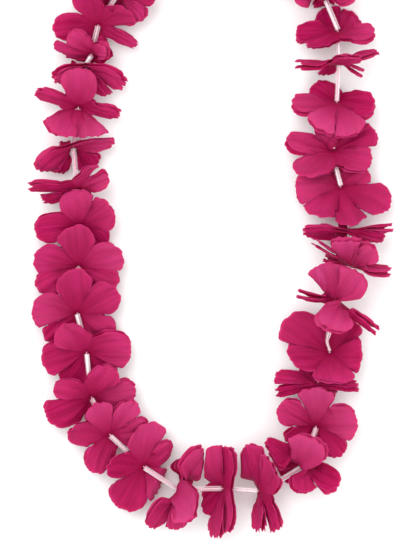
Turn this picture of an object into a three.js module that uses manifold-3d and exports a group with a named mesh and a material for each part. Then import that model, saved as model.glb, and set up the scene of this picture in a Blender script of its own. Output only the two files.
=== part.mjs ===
// Artificial flower lei: 36 fabric blooms and 36 clear spacer straws threaded on a closed cord, laid flat.
// Millimetres, +Z up. The lei lies on the XY plane, its long way along Y, seen from straight above.
import * as THREE from "three";
import { mergeVertices } from "three/addons/utils/BufferGeometryUtils.js";
import Module from "manifold-3d";

// Driving dimensions.
const PITCH = 25.4; // straw length from bloom to bloom, one inch
const PHOTO_PITCH = 40.3; // the same straw in pixels of the 416 x 540 photograph
const STRAW_RADIUS = 1.7;
const THREAD_RADIUS = 0.5;
const PETAL_LENGTH = 27; // bloom centre to petal tip, so a bloom opens to about 54 mm
const PETAL_HALF_WIDTH = 9.6;
const PETALS = 5; // in each of a bloom's two layers
const SHEET = 0.7; // thickness of a petal
const HOLE_RADIUS = 1.1; // of the thread's hole in the front layer, to its corners
const BACK_HOLE_RADIUS = 1.25;
const HUB_MEET = 0.15; // each layer reaches this far past the bloom's middle round the hole
const ROOT_RADIUS = 2; // where the petals start
const SIMPLIFY = 0.125; // unevenness that is smoothed away where the layers join
const LAYER_OFFSET = 0.75; // each layer's middle lies this far from the bloom's centre along its axis
const BACK_BEND = 0.15; // how far the back layer's petals bend back, as a share of their length
const CLEARANCE = 0.3; // between pieces that touch
const STACK = 1.1; // from the middle of one layer to the middle of the other where they lie together
const CORD_HEIGHT = 18; // of the centre of a bloom that stands upright
const LEAN_DROP = 7; // how much lower the centre of a bloom that lies flat is
const FLATTEN = 0.5; // what lies this low is pressed flat on the surface
const STRAW_SIDES = 5; // of the straws and the thread
const WELD = 1e-3; // points this close are one
const OVER = 0.5; // a petal lifted this much or more lies over the straws
const TENT_RISE = 1.3; // and is held up by them along a ridge, in straw radii and clearance
const TENT_SLOPE = 0.75; // that falls off to both sides
const TENT_START = 12; // and rises from the middle of the bloom to its height this far out

// Places read from the photograph, in pixels of its 416 x 540 frame.
const PHOTO_MIDDLE = [208, 270];
const MM_PER_PIXEL = PITCH / PHOTO_PITCH;
// The loop runs on past the photograph's top edge as a round arch between the two blooms that it cuts.
const ARCH_CENTRE = [221.5, 22];
const ARCH_RADIUS = 107;
const ARCH_HALF_ANGLE = 1.31; // radians from straight up to the last bloom on either side
const ARCH_BLOOMS = 6;

// The blooms, down the left strand, along the bottom and up the right strand. at is the centre in
// pixels; axis is the way its front faces, as photo right, photo down and towards the viewer. A petal is its
// tip in pixels, how much of its foreshortening lifts it (1) or lowers it (-1), how far it turns its face to
// the viewer (0 to 1) and its share of the usual width. fence, where given, is the way across the gap to the
// next bloom that their petals keep apart along, and how many pixels past the straw's middle it stands.
const BLOOMS = [
  { at: [98, 24], axis: [-0.1, 0.45, 0.88], fence: [0, 0.35, 0.94, 0], petals: [
    [84, -16, 0.4, 0.95, 1.1], [136, 4, 0.3, 0.9, 1.15], [136, 46, 0.1, 0.4, 0.4],
    [95, 62, -0.1, 0.9, 1.2], [52, 28, 0.1, 0.8, 0.9]] },
  { at: [91, 53], axis: [-0.1, 0.75, 0.65], fence: [-0.2, 0.9, 0.4, 0], petals: [
    [54, 54, 0.4, 0.95, 1.2], [69, 35, 0.3, 0.95, 0.7], [108, 42, -0.5, 0.5, 0.8],
    [106, 60, 0.4, 0.7, 0.8], [66, 62, -0.6, 0.5, 0.9]] },
  { at: [86, 66], axis: [0, 0.8, 0.6], fence: [0, 0.5, 0.87, 0], petals: [
    [54, 82, 0, 0.4, 0.5], [72, 66, -0.85, 0.4, 0.9], [104, 68, -0.8, 0.4, 0.9],
    [124, 88, 0.1, 0.35, 0.7], [108, 98, 0.1, 0.6, 0.7]] },
  { at: [78, 106], axis: [-0.05, 0.8, 0.6], fence: [0.05, 1, 0, 13], petals: [
    [34, 92, 0, 0.15, 0.5], [79, 69, 0.7, 0.95, 1.2], [119, 117, 0, 0.15, 0.5],
    [94, 143, 0.7, 0.95, 1.5], [61, 138, 0.7, 0.95, 1.5]] },
  { at: [73, 146], axis: [0.1, 0.9, 0.45], petals: [
    [40, 176, 0.1, 0.6, 0.8], [72, 126, -0.9, 0.4, 1], [115, 140, 0.3, 0.4, 0.8],
    [90, 170, -0.6, 0.6, 0.9], [58, 182, -0.6, 0.2, 0.5]] },
  { at: [77, 188], axis: [0.05, 0.98, 0.15], fence: [0, 0.5, 0.87, 0], petals: [
    [28, 190, 0, 0.2, 0.5], [97, 151, 0.2, 0.4, 0.3], [109, 178, 0.2, 0.9, 0.6],
    [80, 208, -0.8, 0.3, 0.8], [42, 202, -0.2, 0.4, 0.6]] },
  { at: [81, 225], axis: [0, 0.6, 0.8], fence: [0, 0.4, 0.92, 0], petals: [
    [34, 231, 0, 0.8, 1], [76, 192, 0.65, 0.95, 1.2], [111, 208, 0.4, 0.95, 1.3],
    [104, 246, -0.5, 0.7, 1], [62, 248, -0.5, 0.7, 1]] },
  { at: [78, 266], axis: [0, 0.45, 0.9], fence: [0, 0.4, 0.92, 0], petals: [
    [33, 257, 0.2, 0.95, 1.2], [74, 223, 0.6, 0.95, 1.25], [123, 256, 0.2, 0.95, 1.25],
    [117, 286, -0.1, 0.8, 1], [36, 290, -0.1, 0.8, 1]] },
  { at: [77, 313], axis: [0, 0.45, 0.9], fence: [0.1, 0.55, 0.82, 0], petals: [
    [31, 312, 0.2, 0.95, 1.3], [74, 267, 0.5, 0.95, 1.25], [117, 288, 0.3, 0.95, 1.25],
    [110, 341, -0.1, 0.95, 1.2], [47, 344, -0.2, 0.8, 1.1]] },
  { at: [86, 352], axis: [0.1, 0.65, 0.75], fence: [0.1, 0.6, 0.8, 0], petals: [
    [42, 364, 0, 0.9, 1.2], [58, 330, 0.55, 0.95, 1], [131, 352, 0.2, 0.8, 1.3],
    [108, 384, -0.5, 0.8, 1.1], [66, 386, -0.5, 0.8, 1.1]] },
  { at: [91, 397], axis: [0.2, 0.7, 0.7], fence: [0.3, 0.6, 0.75, 0], petals: [
    [53, 388, 0.2, 0.7, 0.8], [114, 369, 0.5, 0.85, 1], [136, 392, 0.2, 0.8, 0.9],
    [106, 430, -0.5, 0.6, 1], [46, 418, 0, 0.95, 1.2]] },
  { at: [109, 434], axis: [0.4, 0.65, 0.65], fence: [0.5, 0.4, 0.77, 0], petals: [
    [66, 432, 0, 0.9, 0.9], [94, 400, 0.5, 0.9, 1], [136, 402, 0.4, 0.7, 0.8],
    [150, 430, 0.2, 0.7, 1], [94, 474, -0.2, 0.7, 0.9]] },
  { at: [143, 467], axis: [0.45, 0.35, 0.82], fence: [0.8, 0.3, 0.5, -2], petals: [
    [103, 464, 0.2, 0.9, 0.95], [148, 420, 0.4, 0.95, 1.4], [176, 447, 0.2, 0.2, 0.7],
    [171, 496, 0.2, 0.95, 1.3], [121, 510, 0.2, 0.95, 1.3]] },
  { at: [179, 489], axis: [0.85, 0.1, 0.5], petals: [
    [150, 529, 0, 0.5, 0.7], [186, 462, -0.8, 0.4, 1], [210, 451, 0.2, 0.6, 1],
    [194, 519, 0.8, 0.95, 1.2], [175, 530, 0.2, 0.8, 0.9]] },
  { at: [224, 489], axis: [0.9, 0.05, -0.42], petals: [
    [213, 446, 0, 0.8, 1.2], [231, 447, 0.3, 0.2, 0.9], [228, 533, 0.3, 0.2, 0.9],
    [219, 539, 0, 0.2, 0.8], [205, 513, -0.6, 0.7, 1]] },
  { at: [260, 491], axis: [0.95, -0.05, -0.3], petals: [
    [249, 444, 0.1, 0.7, 1.2], [277, 456, 0.7, 0.7, 1.2], [268, 503, -0.9, 0.3, 1],
    [278, 531, 0.3, 0.4, 0.8], [264, 532, 0, 0.2, 0.7]] },
  { at: [302, 466], axis: [0.6, -0.75, 0.25], fence: [0.25, -0.75, -0.6, 0], petals: [
    [264, 442, 0, 0.7, 1], [313, 434, 0.8, 0.95, 1.35], [340, 484, 0.1, 0.6, 0.9],
    [306, 492, 0.2, 0.7, 0.9], [284, 474, -0.8, 0.3, 1]] },
  { at: [316, 426], axis: [-0.1, -0.7, -0.65], fence: [0, -0.6, -0.8, 6], petals: [
    [281, 402, 0, 0.8, 0.95], [312, 383, 0.8, 0.95, 1.35], [357, 418, 0.5, 0.95, 1.2],
    [340, 458, -0.4, 0.8, 1.1], [286, 446, -0.2, 0.7, 0.95]] },
  { at: [318, 384], axis: [0, -0.95, 0.3], fence: [0.2, -0.6, 0.78, 0], petals: [
    [275, 376, 0.2, 0.5, 0.8], [308, 363, -0.6, 0.9, 0.9], [360, 384, 0, 0.3, 0.6],
    [328, 396, -0.8, 0.4, 0.9], [275, 391, -0.3, 0.3, 0.6]] },
  { at: [330, 353], axis: [0, -0.45, 0.9], fence: [0.1, -0.5, 0.86, 0], petals: [
    [284, 321, 0.1, 0.95, 1.5], [352, 317, 0, 0.9, 1.3], [362, 352, 0.2, 0.95, 1.5],
    [335, 386, 0.5, 0.95, 1.5], [287, 360, 0.2, 0.95, 1.5]] },
  { at: [337, 302], axis: [0.43, -0.9, 0.05], fence: [0.45, -0.85, -0.3, 14], petals: [
    [298, 291, 0.1, 0.1, 0.6], [325, 263, 0.9, 0.95, 1.3], [356, 268, 0.9, 0.95, 1.3],
    [379, 330, 0, 0.2, 0.7], [332, 328, 0.8, 0.95, 1.2]] },
  { at: [350, 265], axis: [0.45, -0.89, 0], fence: [0.1, -0.85, -0.5, 8], petals: [
    [315, 238, 0.1, 0.1, 0.7], [347, 229, 0.9, 0.95, 1.35], [373, 245, 0.5, 0.9, 0.8],
    [391, 270, 0.1, 0.15, 0.8], [326, 257, -0.6, 0.1, 0.6]] },
  { at: [350, 230], axis: [0.05, -0.98, -0.15], fence: [0, -0.7, 0.7, -10], petals: [
    [303, 232, 0.1, 0.7, 0.9], [350, 200, -0.5, 0.3, 1], [393, 223, 0.1, 0.2, 0.6],
    [384, 242, 0.2, 0.95, 0.8], [345, 244, -0.9, 0.3, 1]] },
  { at: [341, 187], axis: [0, -0.5, 0.86], fence: [0, -0.6, 0.8, 0], petals: [
    [296, 188, 0.1, 0.95, 1.4], [366, 165, 0, 0.8, 1.2], [390, 210, 0, 0.9, 1.4],
    [356, 230, 0.5, 0.95, 1.6], [313, 220, 0.3, 0.95, 1.5]] },
  { at: [333, 151], axis: [0, -0.8, 0.5], fence: [0, -0.6, 0.8, 0], petals: [
    [287, 136, 0, 0.6, 0.75], [322, 119, 0.55, 0.95, 1.1], [375, 128, 0.3, 0.8, 1.1],
    [372, 160, 0.2, 0.8, 1], [296, 178, 0.3, 0.95, 1.1]] },
  { at: [337, 103], axis: [0.05, -0.85, 0.5], petals: [
    [292, 101, 0.1, 0.5, 0.8], [313, 84, -0.4, 0.9, 1], [375, 103, 0.2, 0.6, 1],
    [351, 136, 0.6, 0.95, 1.3], [319, 130, 0.6, 0.95, 1.3]] },
  { at: [339, 63], axis: [0.03, -0.98, 0.15], petals: [
    [295, 62, 0.1, 0.15, 0.6], [357, 50, 0.6, 0.4, 0.7], [377, 45, 0.1, 0, 0.35],
    [364, 71, 0.1, 0.1, 0.35], [321, 67, -0.6, 0.1, 0.6]] },
  { at: [338, 32], axis: [0, -0.85, 0.5], petals: [
    [296, 33, 0.1, 0.85, 0.9], [330, 4, -0.8, 0.8, 1.1], [354, 9, -0.7, 0.8, 1],
    [375, 30, 0.2, 0.5, 0.7], [306, 47, 0.3, 0.4, 0.6]] },
  { at: [325, -3], axis: [-0.3, -0.8, 0.4], petals: [
    [297, -16, 0.3, 0.7, 0.9], [308, -32, -0.7, 0.8, 0.8], [342, -32, -0.7, 0.8, 0.8],
    [354, -16, 0.3, 0.7, 0.9], [324, 5, -0.8, 0.3, 0.7]] },
];
const LAST_BLOOM = { at: [118, -8], axis: [-0.4, 0.75, 0.5], petals: [
  [78, -15, 0.2, 0.8, 1], [106, -26, -0.8, 0.7, 1], [158, -8, 0.2, 0.8, 1],
  [140, 23, 0.1, 0.4, 0.9], [112, 12, -0.9, 0.4, 1]] };

// Colours of the satin petals and of the clear straws on their white thread.
const PETAL_COLOUR = 0xc41c62;
const STRAND_COLOUR = 0xf4e4ea;
const PETAL_ROUGHNESS = 0.6;
const STRAND_ROUGHNESS = 0.2;

const wasm = await Module();
wasm.setup();

const { lerp, smoothstep } = THREE.MathUtils;
const UP = new THREE.Vector3(0, 0, 1);
const unit = (x, y, z) => new THREE.Vector3(x, y, z).normalize();
const plus = (point, way, length) => point.clone().addScaledVector(way, length);

// A seeded draw between 0 and 1.
function draw(seed) {
  const wave = Math.sin(seed * 12.9898 + 4.1) * 43758.5453;
  return wave - Math.floor(wave);
}

function fromPhoto([x, y], height) {
  return new THREE.Vector3(
    (x - PHOTO_MIDDLE[0]) * MM_PER_PIXEL,
    (PHOTO_MIDDLE[1] - y) * MM_PER_PIXEL,
    height,
  );
}

const heightOf = (axis) => CORD_HEIGHT - LEAN_DROP * Math.abs(axis.z);

// A petal's tip from its place in the photograph, with the height that its true length leaves it.
function photoTip(centre, [x, y, lift]) {
  const tip = fromPhoto([x, y], 0);
  const across = Math.hypot(tip.x - centre.x, tip.y - centre.y);
  const rise = Math.sqrt(Math.max(0, PETAL_LENGTH ** 2 - across ** 2));
  tip.z = centre.z + lift * rise;
  return tip;
}

function photoBloom({ at, axis: [right, down, out], fence, petals }) {
  const axis = unit(right, -down, out);
  const centre = fromPhoto(at, heightOf(axis));
  return {
    centre,
    axis,
    fence,
    tips: petals.map((petal) => photoTip(centre, petal)),
    over: petals.map((petal) => petal[2] >= OVER),
    facing: petals.map((petal) => petal[3]),
    width: petals.map((petal) => petal[4]),
  };
}

// Two directions square to a bloom's axis, the first one level.
function crossways(axis) {
  const side = new THREE.Vector3().crossVectors(UP, axis).normalize();
  return [side, new THREE.Vector3().crossVectors(axis, side)];
}

// The direction at a turn, in radians, round a bloom's axis.
function outward(axis, turn) {
  const [side, high] = crossways(axis);
  return side.multiplyScalar(Math.cos(turn)).addScaledVector(high, Math.sin(turn));
}

// How the arch's blooms and petals vary, from the least to the most.
const ARCH_LEAN = [-0.4, 0.9]; // of a bloom's front towards the viewer
const ARCH_TURN = [0, 0.3]; // of a petal round the axis, in steps from petal to petal
const ARCH_BEND = [-0.2, 0.45]; // of a petal towards the front, in radians
const ARCH_FACING = [0, 0.4];
const ARCH_WIDTH = [0.9, 1.1];
const between = ([least, most], seed) => lerp(least, most, draw(seed));

// A bloom of the arch: petals evenly round its axis, each bent a little its own way.
function archBloom(k) {
  const angle = lerp(ARCH_HALF_ANGLE, -ARCH_HALF_ANGLE, (k + 1) / (ARCH_BLOOMS + 1));
  const axis = unit(-Math.cos(angle), Math.sin(angle), between(ARCH_LEAN, k));
  const at = [
    ARCH_CENTRE[0] + ARCH_RADIUS * Math.sin(angle),
    ARCH_CENTRE[1] - ARCH_RADIUS * Math.cos(angle),
  ];
  const centre = fromPhoto(at, heightOf(axis));
  const places = Array.from({ length: PETALS }, (unused, i) => i);
  return {
    centre,
    axis,
    tips: places.map((i) => {
      const step = i + between(ARCH_TURN, 10 * k + i) + draw(k + 50);
      const turn = (step * 2 * Math.PI) / PETALS;
      const bend = between(ARCH_BEND, 20 * k + i);
      const way = outward(axis, turn).multiplyScalar(Math.cos(bend));
      return plus(centre, way.addScaledVector(axis, Math.sin(bend)), PETAL_LENGTH);
    }),
    over: places.map(() => false),
    facing: places.map((i) => between(ARCH_FACING, 30 * k + i)),
    width: places.map((i) => between(ARCH_WIDTH, 40 * k + i)),
  };
}

const blooms = [
  ...BLOOMS.map(photoBloom),
  ...Array.from({ length: ARCH_BLOOMS }, (unused, k) => archBloom(k)),
  photoBloom(LAST_BLOOM),
];
const wrap = (i) => (i + blooms.length) % blooms.length;

const HUB_HALF_THICKNESS = LAYER_OFFSET + SHEET / 2;

// A straw runs from a bloom to the next and stops short of both hubs, the more so the more they lean.
function straw(from, to) {
  const way = to.centre.clone().sub(from.centre).normalize();
  const standOff = ({ axis }) => {
    const lean = Math.sqrt(Math.max(0, 1 - axis.dot(way) ** 2));
    return HUB_HALF_THICKNESS + CLEARANCE + STRAW_RADIUS * lean;
  };
  return new THREE.Line3(
    plus(from.centre, from.axis, standOff(from)),
    plus(to.centre, to.axis, -standOff(to)),
  );
}
const straws = blooms.map((bloom, i) => straw(bloom, blooms[wrap(i + 1)]));

// Between two blooms stands a fence: a plane across the straw that no petal crosses. It leans with them
// unless the photograph shows that one lies over the other.
const fences = blooms.map(({ axis, fence }, i) => {
  const ahead = blooms[wrap(i + 1)];
  const [right, down, out, shift] = fence ?? [0, 0, 0, 0];
  const normal = fence ? unit(right, -down, out) : axis.clone().add(ahead.axis).normalize();
  const point = straws[i].getCenter(new THREE.Vector3());
  point.addScaledVector(straws[i].delta(new THREE.Vector3()).normalize(), shift * MM_PER_PIXEL);
  return new THREE.Plane().setFromNormalAndCoplanarPoint(normal, point);
});

const SETTLE_ROUNDS = 4; // each rule may push a point against another, so all are applied in turn
const NEIGHBOUR_REACH = SHEET / 2 + CLEARANCE / 2; // petals of one bloom lie close together
const REACH = SHEET / 2 + CLEARANCE; // of a petal's faces and their clearance from its middle surface

function keepOnSide(point, fence, sign, gap) {
  const lack = gap - sign * fence.distanceToPoint(point);
  if (lack > 0) point.addScaledVector(fence.normal, sign * lack);
}

function keepOffStraw(point, line, gap) {
  const nearest = line.closestPointToPoint(point, true, new THREE.Vector3());
  const away = point.clone().sub(nearest);
  const least = STRAW_RADIUS + gap;
  if (away.length() < least) point.copy(nearest).addScaledVector(away.normalize(), least);
}

// A petal that lies over a straw is held up by it like a tent, away from the middle of its bloom.
function keepOverStraw(point, line, gap, centre) {
  const nearest = line.closestPointToPoint(point, true, new THREE.Vector3());
  const aside = Math.hypot(point.x - nearest.x, point.y - nearest.y);
  const rise = TENT_RISE * smoothstep(nearest.distanceTo(centre), 0, TENT_START);
  point.z = Math.max(point.z, nearest.z + rise * (STRAW_RADIUS + gap) - TENT_SLOPE * aside);
}

const LEAST_SLOPE = 0.2; // bounds on a petal's direction where it is divided by
const LEAST_LEVEL = 0.1;

// Where a petal would reach below the surface, it bends and lies along it instead.
function layOnSurface(point, way, gap) {
  const depth = gap - point.z;
  if (depth <= 0) return;
  const level = Math.hypot(way.x, way.y);
  const spread = (depth * (1 - level)) / Math.max(LEAST_SLOPE, Math.abs(way.z));
  point.x += (way.x / Math.max(level, LEAST_LEVEL)) * spread;
  point.y += (way.y / Math.max(level, LEAST_LEVEL)) * spread;
  point.z = gap;
}

// Moves a point of a petal of bloom i clear of the straws, the fences, the petals beside it and the
// surface. The layer that is further from a thing keeps off it by the thickness of the other as well.
function settle(point, { i, front, way, faceUp, over, walls }) {
  const ahead = REACH + (front ? 0 : STACK);
  const behind = REACH + (front ? STACK : 0);
  const below = SHEET / 2 + (front === faceUp ? STACK : 0);
  for (let round = 0; round < SETTLE_ROUNDS; round += 1) {
    if (over) {
      keepOverStraw(point, straws[wrap(i - 1)], behind, blooms[i].centre);
      keepOverStraw(point, straws[i], ahead, blooms[i].centre);
    }
    keepOffStraw(point, straws[wrap(i - 1)], behind);
    keepOffStraw(point, straws[i], ahead);
    walls.forEach((wall) => keepOnSide(point, wall, 1, NEIGHBOUR_REACH));
    keepOnSide(point, fences[wrap(i - 2)], 1, behind);
    keepOnSide(point, fences[wrap(i + 1)], -1, ahead);
    keepOnSide(point, fences[wrap(i - 1)], 1, behind);
    keepOnSide(point, fences[i], -1, ahead);
    layOnSurface(point, way, below);
  }
  return point;
}

// The petals of a bloom in order round the axis: each one's tip, the turn of its root, which are evenly
// spaced, and its walls: planes half way between its direction and each other petal's.
function petalsRound({ centre, axis, tips }) {
  const [side, high] = crossways(axis);
  const ways = tips.map((tip) => tip.clone().sub(centre).normalize());
  const petals = tips.map((tip, k) => (
    { k, tip, aim: Math.atan2(ways[k].dot(high), ways[k].dot(side)) }
  )).sort((a, b) => a.aim - b.aim);
  const step = (2 * Math.PI) / PETALS;
  const lags = petals.map(({ aim }, place) => aim - place * step);
  const sum = (values) => values.reduce((a, b) => a + b, 0);
  const start = Math.atan2(sum(lags.map(Math.sin)), sum(lags.map(Math.cos)));
  return petals.map((petal, place) => ({
    ...petal,
    turn: start + place * step,
    walls: ways.filter((way, k) => k !== petal.k).map((way) => (
      new THREE.Plane().setFromNormalAndCoplanarPoint(
        ways[petal.k].clone().sub(way).normalize(),
        centre,
      ))),
  }));
}

// The way that a petal's face looks: as on an open bloom at its root, then turned towards the viewer.
function petalNormals(axis, out, way, facing) {
  const bend = axis.dot(way);
  const natural = axis.clone().multiplyScalar(Math.sqrt(1 - bend * bend)).addScaledVector(out, -bend);
  natural.addScaledVector(way, -natural.dot(way)).normalize();
  const faced = UP.clone().multiplyScalar(natural.z < 0 ? -1 : 1);
  faced.addScaledVector(way, -faced.dot(way)).normalize();
  return [natural, natural.clone().lerp(faced, facing).normalize()];
}

// A petal's middle surface: the point at across (mm), along (0 to 1) and raised by the fold (mm). The back
// layer repeats the front one behind its petals' faces, and bends further back.
function petalSurface(i, front, { tip, turn, walls, k }) {
  const { centre, axis, over, facing, width } = blooms[i];
  const out = outward(axis, turn);
  const aim = tip.clone().sub(centre).normalize();
  const [natural, turned] = petalNormals(axis, out, aim, facing[k]);
  const side = front ? 1 : -1;
  const outer = Math.max(0, -side * axis.dot(aim));
  const root = plus(centre, out, ROOT_RADIUS + 2 * LAYER_OFFSET * outer);
  root.addScaledVector(axis, side * LAYER_OFFSET);
  const end = front ? tip : plus(tip, natural, -BACK_BEND * PETAL_LENGTH);
  const way = end.clone().sub(root).normalize();
  const length = end.distanceTo(root);
  const place = { i, front, way, faceUp: natural.z > 0, over: over[k], walls };
  return (across, along, raised) => {
    const normal = natural.clone().lerp(turned, smoothstep(along, 0, 0.5)).normalize();
    const sideways = new THREE.Vector3().crossVectors(normal, way).normalize();
    const point = plus(root, way, along * length);
    point.addScaledVector(sideways, across * width[k]).addScaledVector(normal, raised);
    return settle(point, place);
  };
}

// A petal's outline from its right side round its tip to its left, as shares of its half width, places
// along it and folds; the last row is its middle, and NOTCH is where it parts from its neighbours.
const NOTCH = [0.5, 0.27];
const OUTLINE = [[1, 0.62, -0.4], [0.52, 0.98, 0.3], [-0.52, 0.98, 0.3], [-1, 0.62, -0.4],
  [0, 0.58, 0.8]];

// One layer's middle surface: for each petal a corner of the thread's hole, the notch before the petal,
// its outline and its middle.
function layerPoints(i, front, petals) {
  const { centre, axis } = blooms[i];
  const level = plus(centre, axis, front ? LAYER_OFFSET : -LAYER_OFFSET);
  const surfaces = petals.map((petal) => petalSurface(i, front, petal));
  const [notchWidth, notchPlace] = NOTCH;
  const edge = (surface, sign) => surface(sign * notchWidth * PETAL_HALF_WIDTH, notchPlace, 0);
  return petals.flatMap(({ turn }, place) => {
    const surface = surfaces[place];
    const before = surfaces[(place + PETALS - 1) % PETALS];
    return [
      plus(level, outward(axis, turn - Math.PI / PETALS), front ? HOLE_RADIUS : BACK_HOLE_RADIUS),
      edge(before, 1).lerp(edge(surface, -1), 0.5),
      ...OUTLINE.map(([across, along, fold]) => surface(across * PETAL_HALF_WIDTH, along, fold)),
    ];
  });
}

// Each point moved out by an offset along the mean of the faces round it. Round the hole, a face that
// looks to the other layer reaches past the bloom's middle, and so joins the two.
function skin(points, triangles, { centre, axis }, size, offset, inward) {
  const normals = points.map(() => new THREE.Vector3());
  triangles.forEach((triangle) => {
    const [a, b, c] = triangle.map((k) => points[k]);
    const normal = b.clone().sub(a).cross(c.clone().sub(a));
    triangle.forEach((k) => normals[k].add(normal));
  });
  const reach = Math.sign(offset) * (inward ? LAYER_OFFSET + HUB_MEET : Math.abs(offset));
  return points.map((point, k) => {
    const atHole = k % size === 0;
    const moved = atHole ? plus(point, axis, reach) : plus(point, normals[k].normalize(), offset);
    if (moved.z < FLATTEN) moved.z = 0;
    return moved;
  });
}

// One layer as a closed sheet with a hole, split into triangles alike on both faces.
function layerSheet(i, front, petals, thickness) {
  const size = OUTLINE.length + 2;
  const middles = layerPoints(i, front, petals);
  const rounds = petals.map((petal, place) => {
    const own = place * size;
    const next = ((place + 1) % PETALS) * size;
    return [own, next, next + 1, ...OUTLINE.slice(1).map((row, k) => own + 2 + k), own + 1];
  });
  const triangles = rounds.flatMap((round, place) => (
    round.map((point, k) => [place * size + size - 1, round[(k + 1) % round.length], point])));
  const points = [
    ...skin(middles, triangles, blooms[i], size, thickness / 2, !front),
    ...skin(middles, triangles, blooms[i], size, -thickness / 2, front),
  ];
  const under = middles.length;
  const faces = triangles.flatMap(([a, b, c]) => [a, b, c, under + a, under + c, under + b]);
  rounds.forEach((round) => {
    const edges = [[round[0], round[1]], ...round.slice(3).map((b, k) => [round[k + 2], b])];
    edges.forEach(([a, b]) => faces.push(a, b, under + b, a, under + b, under + a));
  });
  return solid(points, faces);
}

// A bloom: its two layers, joined round the thread's hole, and grown by extra on every side.
function bloomSolid(i, extra) {
  const petals = petalsRound(blooms[i]);
  const sheets = [true, false].map((front) => layerSheet(i, front, petals, SHEET + 2 * extra));
  return wasm.Manifold.union(sheets).simplify(SIMPLIFY);
}

function solid(points, faces) {
  return new wasm.Manifold(new wasm.Mesh({
    numProp: 3,
    vertProperties: new Float32Array(points.flatMap((point) => point.toArray())),
    triVerts: new Uint32Array(faces),
  }));
}

// Rings of corners joined one to the next, open ends capped; closed joins the last ring to the first.
function ringSolid(rings, closed) {
  const sides = rings[0].length;
  const faces = [];
  const last = closed ? rings.length : rings.length - 1;
  for (let row = 0; row < last; row += 1) {
    const near = row * sides;
    const far = ((row + 1) % rings.length) * sides;
    for (let k = 0; k < sides; k += 1) {
      const next = (k + 1) % sides;
      faces.push(near + k, near + next, far + next, near + k, far + next, far + k);
    }
  }
  if (!closed) {
    const end = (rings.length - 1) * sides;
    for (let k = 1; k < sides - 1; k += 1) {
      faces.push(0, k + 1, k, end, end + k, end + k + 1);
    }
  }
  return solid(rings.flat(), faces);
}

function ring(centre, axis, radius) {
  return Array.from({ length: STRAW_SIDES }, (unused, k) => (
    plus(centre, outward(axis, (k * 2 * Math.PI) / STRAW_SIDES), radius)
  ));
}

// The thread and the straws on it, from straw first to straw last, each grown by extra.
function strandRings(first, last, extra) {
  const rings = [];
  for (let i = first; i <= last; i += 1) {
    const { start, end } = straws[wrap(i)];
    const way = end.clone().sub(start).normalize();
    const thin = THREAD_RADIUS + extra;
    const thick = STRAW_RADIUS + extra;
    rings.push(
      ring(start, blooms[wrap(i)].axis, thin),
      ring(plus(start, way, -extra), way, thick),
      ring(plus(end, way, extra), way, thick),
      ring(end, blooms[wrap(i + 1)].axis, thin),
    );
  }
  return rings;
}

function largest(whole) {
  const bodies = whole.decompose();
  return bodies.reduce((most, body) => (body.volume() > most.volume() ? body : most));
}

// Cuts first clear of what second holds where they meet; grown makes second larger by the clearance.
function cutClear(first, second, grown) {
  return first.intersect(second).isEmpty() ? first : largest(first.subtract(grown()));
}

// Every bloom, clear of the straws and of the neighbour that lies over it.
function clearBlooms() {
  const whole = blooms.map((bloom, i) => {
    const channel = (extra) => ringSolid(strandRings(i - 1, i, extra), false);
    return cutClear(bloomSolid(i, 0), channel(0), () => channel(CLEARANCE));
  });
  blooms.forEach((bloom, i) => {
    [1, 2].forEach((ahead) => {
      const j = wrap(i + ahead);
      const [over, under] = fences[i].normal.z > 0 ? [j, i] : [i, j];
      whole[under] = cutClear(whole[under], whole[over], () => bloomSolid(over, CLEARANCE));
    });
  });
  return whole;
}

const satin = () => new THREE.MeshStandardMaterial({
  color: PETAL_COLOUR,
  roughness: PETAL_ROUGHNESS,
  metalness: 0,
});

const clearPlastic = () => new THREE.MeshStandardMaterial({
  color: STRAND_COLOUR,
  roughness: STRAND_ROUGHNESS,
  metalness: 0,
});

function named(manifold, name, material) {
  const { vertProperties, triVerts } = manifold.getMesh();
  const geometry = new THREE.BufferGeometry();
  geometry.setAttribute("position", new THREE.BufferAttribute(vertProperties, 3));
  geometry.setIndex(new THREE.BufferAttribute(triVerts, 1));
  const clean = mergeVertices(geometry, WELD);
  clean.computeVertexNormals();
  const mesh = new THREE.Mesh(clean, material);
  mesh.name = name;
  return mesh;
}

const lei = new THREE.Group();
lei.add(named(ringSolid(strandRings(0, blooms.length - 1, 0), true), "strand", clearPlastic()));
clearBlooms().forEach((whole, i) => {
  lei.add(named(whole, `bloom_${String(i + 1).padStart(2, "0")}`, satin()));
});

// The frame's origin is the middle of the lei's underside.
const box = new THREE.Box3().setFromObject(lei, true);
const middle = box.getCenter(new THREE.Vector3());
lei.position.set(-middle.x, -middle.y, -box.min.z);

export default lei;
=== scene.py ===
import math

import bpy
import numpy as np
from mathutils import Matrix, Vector


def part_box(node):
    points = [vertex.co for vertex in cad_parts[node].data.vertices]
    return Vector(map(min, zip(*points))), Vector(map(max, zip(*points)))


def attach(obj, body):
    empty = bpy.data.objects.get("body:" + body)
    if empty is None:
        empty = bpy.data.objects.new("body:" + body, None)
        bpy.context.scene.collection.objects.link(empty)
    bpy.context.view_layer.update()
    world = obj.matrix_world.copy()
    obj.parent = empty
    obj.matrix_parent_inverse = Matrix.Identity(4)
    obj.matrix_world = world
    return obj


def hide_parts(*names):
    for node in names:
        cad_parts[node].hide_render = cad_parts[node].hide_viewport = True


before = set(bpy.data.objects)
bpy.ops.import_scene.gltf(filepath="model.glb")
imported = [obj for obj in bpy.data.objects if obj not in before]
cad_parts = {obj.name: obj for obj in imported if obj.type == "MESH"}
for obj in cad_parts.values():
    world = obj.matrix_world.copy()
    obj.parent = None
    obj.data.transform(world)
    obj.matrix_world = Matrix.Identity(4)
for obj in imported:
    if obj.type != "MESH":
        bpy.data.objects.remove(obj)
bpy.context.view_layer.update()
MM = 0.001

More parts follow.
